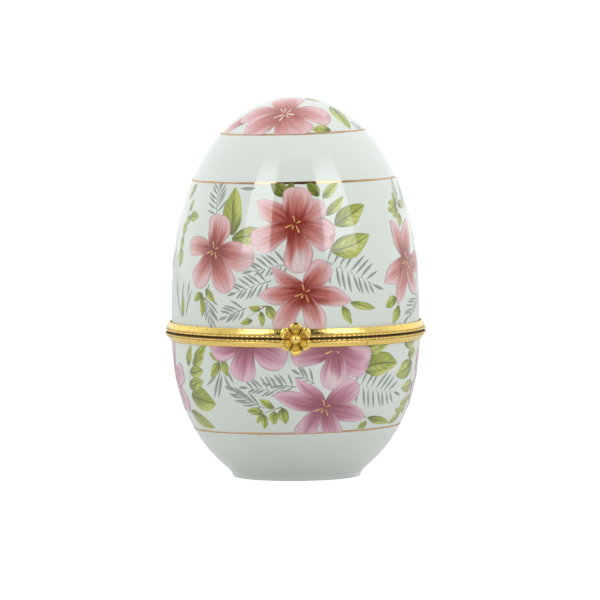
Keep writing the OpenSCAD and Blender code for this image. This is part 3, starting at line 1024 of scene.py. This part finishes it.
BOWL_FLOWERS = [
    ((-22, 37.3, 0), [(-170, 12, 7, rounded), (-28, 11, 8, rounded), (-102, 10.5, 7.5, rounded)]),
    ((18, 35.3, 2), [(150, 8, 5, rounded), (60, 8, 5, rounded), (-173, 11.5, 6.5, rounded),
                  (-25, 11, 9, two_lobed), (-92, 10.5, 8, rounded, "pale")]),
    ((14, 20.2), [(136, 11.3, 4.5, thin_tip), (168, 14, 5, pointed), (34, 11, 6.5, rounded),
                  (-17, 13, 5.5, pointed), (-125, 11, 6, rounded), (-67, 10, 5.5, rounded)]),
    ((95, 27), [(150, 10, 6, rounded), (82, 12, 6, rounded), (-150, 11, 6, rounded),
                (10, 10, 6, rounded), (-100, 10, 6, rounded), (-48, 12, 6, rounded)]),
]
CAP_FLOWER = [(81, 10.6, 8.5, rounded), (155, 14, 6.5, rounded), (6, 13, 7.5, two_lobed),
              (-167, 12.5, 8.5, rounded), (-67, 9.5, 11.5, rounded)]
CAP_SIDE_PETALS = [(150, 9.5, 4.5, pointed)]
print("flowers:", len(LID_FLOWERS), "on the lid,", len(BOWL_FLOWERS), "on the bowl, one on the crown")

# %% Leaves: angle, height, heading, length, width
# Those on the crown begin with their distances to the right and to the front instead.
LID_LEAVES = [
    (-32, 65, 93, 13, 5.8), (-32, 64, 15, 10.5, 4.6), (20, 67.5, 34, 11, 5.2), (17, 61, 12, 12.5, 6),
    (16, 70, 46, 7.5, 2.4), (15, 74.5, 46, 6.5, 2.4), (22, 46.7, -61, 5.5, 2.2), (26, 47.5, -14, 8, 2.1),
    (-66, 69, 10, 4.5, 2.8), (-67, 69.5, -110, 3, 2.4), (-70, 67.5, -100, 3.6, 2.8),
    (-71, 64, -95, 3.6, 2.6), (-71, 61, -86, 5.4, 3.8), (-68, 70.5, 85, 3.5, 1.8),
    (-70, 77.5, -125, 5, 2.6), (-65, 43, 86, 5.5, 1.8),
    (-48, 49.5, -157, 4, 2.1), (-48, 49, -85, 5.5, 2), (-46, 51, -49, 5, 1.9),
    (-16, 46, 174, 3.4, 1.7), (-13, 47, -63, 4.8, 2.5), (-16, 45.5, -78, 4, 1.7),
    (-20, 43.2, -170, 3.6, 1.6),
    (54, 48, -156, 5, 2.8), (56, 46, -117, 5.5, 2.8), (66, 72, 171, 4.4, 2.2), (65, 71.8, -165, 5, 2.5),
    (66, 72.4, 99, 3, 1.7), (68, 71.5, 8, 4.8, 2.2), (65, 71, -145, 3.7, 2.3), (67, 69.5, -125, 4, 2.5),
]
LID_DARK_LEAVES = [(-3, 75.2, 141, 7, 3.6), (-3, 75.2, 75, 4, 2.4), (13, 75, 119, 5, 2.8)]
BOWL_LEAVES = [
    (32, 30.3, 9, 13, 6.2), (34, 35.3, 15, 8.5, 4.8), (61, 35.5, 5, 7.5, 3.6), (65, 32.5, 15, 5.7, 3),
    (71, 30.6, -154, 9.4, 5), (76, 25, -166, 7.4, 3.4), (78, 21, -168, 7, 3), (75, 18.4, -173, 7, 2.4),
    (69, 16.8, -155, 5.7, 2.3), (40, 17, -14, 9.7, 2.3), (40, 15.9, -140, 3, 2.2),
    (-61, 30.3, 73, 6, 2.6), (-55, 32.3, 31, 6.4, 2.8), (-57, 31, 18, 5.6, 2.6), (-60, 28.4, 16, 6.3, 3.3),
    (-63, 24.8, 17, 7.5, 3.4), (-63, 22.2, -4, 10.4, 6.5), (-69, 18.2, -31, 10.4, 4),
    (-36, 32.4, 161, 5, 2), (-38, 32, -123, 5.5, 2.4), (-36, 32.6, -77, 4.6, 2.2),
    (-11, 20.2, 149, 4.5, 2), (-17, 19, 169, 4.4, 2.2), (-11, 19.4, -101, 4, 2.4), (-7, 20.3, -80, 4.7, 3),
    (-17, 18.6, -85, 4.4, 2), (-17, 18.6, -131, 3.5, 1.2),
]
CAP_LEAVES = [(9.8, 4.9, -47, 10, 5), (10.9, 17.4, -158, 6, 3), (2.8, 4.3, 16, 5, 2.4)]
print("leaves:", len(LID_LEAVES + LID_DARK_LEAVES), "on the lid,", len(BOWL_LEAVES), "on the bowl")

# %% Stalks: angle, height, heading, length
LID_STALKS = [(14, 67, 80, 10), (18, 48.2, -20, 4), (-70, 62, 82, 10), (-44, 52, -110, 4),
              (-12, 46.8, 175, 5.5), (-13, 47, -155, 7), (67, 67, 95, 7), (57, 49, -110, 4)]
BOWL_STALKS = [(-31, 33.4, -162, 4.5), (-7, 20.5, -165, 6.5), (-62, 24, 80, 8), (35, 17.5, -20, 4),
               (74, 17, 92, 13)]

# %% Ferns: angle, height, heading, length, leaflets left and right, pairs, lean left and right
LID_FERNS = [
    (-43, 69.5, 105, 10, 4, 4.5, 6, 62, 58), (-11, 53.5, -163, 11, 3.8, 4.2, 6, 58, 66),
    (-2, 58, -166, 11, 2.8, 4.6, 6, 55, 70), (-46, 50, -79, 8, 5, 3, 5, 50, 45),
    (-23, 46.3, -162, 6.5, 3.6, 4.4, 4, 45, 50), (13, 58.6, -21, 17, 6, 5.4, 8, 92, 76),
    (80, 48.5, -150, 11, 3, 5, 6, 50, 45), (68, 71, 81, 8, 2.5, 2.5, 5, 48, 48),
    (76, 70, 60, 9, 3, 3, 6, 50, 50),
]
BOWL_FERNS = [
    (27, 26.5, -17, 17, 6, 5.2, 8, 92, 78), (-3, 24.7, 176, 12, 3, 4, 7, 48, 72),
    (0, 25.8, 171, 7, 2.6, 3.6, 4, 36, 66), (-16, 20.2, 156, 10, 3.8, 4.5, 6, 38, 30),
    (9, 26.5, 150, 5, 3, 4, 3, 45, 50), (88, 24, -92, 10, 3, 3, 6, 45, 45),
]

# %% Single blades of grass: angle, height, heading, length, width
LID_BLADES = [(-31, 77, -1, 4.5, 1), (-65, 42.5, 92, 10, 0.8), (-62, 43, 72, 8, 0.7),
              (-67, 43, 112, 9, 0.7), (-70, 46, 100, 8, 0.7), (-60, 48, 84, 5, 0.6)]
BOWL_BLADES = [(-39, 29.5, -135, 6.4, 0.8), (-38, 29, -120, 7.4, 0.9), (-37, 29, -104, 7, 0.9),
               (-36, 28.6, -65, 4.7, 0.8), (-34, 30, -60, 3.8, 0.7), (-37, 31.5, -104, 4, 0.35)]

# %% Ways to print a flower and a frond
stamen_w, stem_w, stalk_w = 0.62, 0.28, 0.3


def on_paper(distance, turned):
    """A point on flat paper at a distance from the base, in a direction in radians."""
    return (distance * math.cos(turned), distance * math.sin(turned))


def add_flower(petals, stamens, place, outline, anthers=5, reach=2.1):
    """Petals from an outline, with a fan of stamens over them. Sines give each its own small bend."""
    for heading, length, width, form, *pale in outline:
        petals.add(place, heading, length, width, form, bend=0.12 * math.sin(heading), accent=bool(pale),
                   notch=0.12 if form is two_lobed else 0.0, cells=(10, 18))
    for i in range(anthers):
        heading = -160 + 290 * i / anthers + 22 * math.sin(5 * i)
        length = reach * (0.75 + 0.35 * math.sin(3 * i + 1))
        stamens.add(place, heading, length, stamen_w, anther, bend=0.5 * math.sin(2 * i),
                    start=on_paper(0.5, math.radians(heading)), cells=(2, 7))


def add_frond(ferns, place, heading, length, left, right, pairs, lean_left, lean_right):
    """A curved stem with leaflets on both sides, which lean forward more and more towards its tip."""
    curve = 0.18 * math.sin(heading)
    ferns.add(place, heading, length, stem_w, stalk, bend=curve, cells=(2, 8))
    for i in range(pairs):
        for sign, reach, lean, first in ((1, left, lean_left, 0.08), (-1, right, lean_right, 0.13)):
            t = first + 0.8 * i / pairs
            start = on_paper(t * length, math.radians(heading) + curve * t / 2)
            size = 0.7 + 0.4 * math.sin(math.pi * min(1.0, 0.2 + 0.95 * t))
            aimed = heading + sign * lean * (1 - 0.45 * t) + 5 * math.sin(4 * i + 2 * sign)
            ferns.add(place, aimed, reach * size, 0.36 + 0.07 * reach, blade, bend=-0.18 * sign,
                      start=start, cells=(4, 7))
    end = on_paper(0.92 * length, math.radians(heading) + curve / 2)
    ferns.add(place, heading, 0.7 * max(left, right), 0.85, blade, start=end, cells=(4, 7))


# %% Print the film on bowl and lid
def new_sheets(prefix, body, petal_ink, anther_ink):
    """The four colours of one film, from the lowest to the highest."""
    return {
        "ferns": Print(prefix + "_ferns", body, fern_ink, 0.010, 0.0001),
        "leaves": Print(prefix + "_leaves", body, leaf_ink, 0.024, 0.0008),
        "petals": Print(prefix + "_petals", body, petal_ink, 0.06, 0.0042),
        "stamens": Print(prefix + "_stamens", body, anther_ink, 0.18, 0.0005),
    }


def print_film(sheets, flowers, leaves, dark_leaves, stalks, ferns, blades):
    """Prints the whole artwork on the front and again on the back."""
    for half_turn in (0, 180):
        for sheet in sheets.values():
            sheet.lift = sheet.base_lift
        for angle, height, *size in ferns:
            add_frond(sheets["ferns"], on_side(angle + half_turn, height), *size)
        for angle, height, heading, *size in blades:
            place = on_side(angle + half_turn, height)
            sheets["ferns"].add(place, heading, *size, blade, bend=0.2 * math.cos(heading))
        for angle, height, heading, length in stalks:
            place = on_side(angle + half_turn, height)
            sheets["leaves"].add(place, heading, length, stalk_w, stalk, bend=0.2, cells=(2, 8))
        for leaf in leaves + dark_leaves:
            angle, height, heading, *size = leaf
            place = on_side(angle + half_turn, height)
            sheets["leaves"].add(place, heading, *size, leaf_form, bend=0.25 * math.cos(heading),
                                 accent=leaf in dark_leaves)
        for (angle, height, *anthers), outline in flowers:
            place = on_side(angle + half_turn, height)
            add_flower(sheets["petals"], sheets["stamens"], place, outline, *anthers)


def finish_film(sheets, *cuts):
    """Cuts each sheet of a film along its lines and makes it a piece."""
    for sheet in sheets.values():
        for line, keep_below in cuts:
            sheet.trim(line, keep_below)
        sheet.finish()


lid_edge = (seam_z + 2.1, 0)  # where the film ends, hidden by the collar
bowl_edge = (seam_z - 2.35, 0)
lid_film = new_sheets("lid", "lid", rose_ink, stamen_ink)
print_film(lid_film, LID_FLOWERS, LID_LEAVES, LID_DARK_LEAVES, LID_STALKS, LID_FERNS, LID_BLADES)
finish_film(lid_film, (lid_edge, False), (lid_line, True))

bowl_film = new_sheets("bowl", "base", violet_ink, stamen_ink)
print_film(bowl_film, BOWL_FLOWERS, BOWL_LEAVES, [], BOWL_STALKS, BOWL_FERNS, BOWL_BLADES)
finish_film(bowl_film, (bowl_edge, True), (bowl_line, False))

# %% Print the flower on the crown, towards the front and towards the back
cap_film = new_sheets("cap", "lid", cap_ink, cream_ink)
for half_turn in (0.0, math.pi):
    petals, stamens = cap_film["petals"], cap_film["stamens"]
    petals.lift = petals.base_lift
    add_flower(petals, stamens, on_crown(-13, 10.5, half_turn), CAP_SIDE_PETALS, 0)
    add_flower(petals, stamens, on_crown(-2.5, 13.9, half_turn), CAP_FLOWER, 10, 2.7)
    for x, front, *size in CAP_LEAVES:
        cap_film["leaves"].add(on_crown(x, front, half_turn), *size, leaf_form)
    add_frond(cap_film["ferns"], on_crown(16, 8, half_turn), 20, 6, 3, 3, 4, 45, 45)
finish_film(cap_film, (cap_line, False))
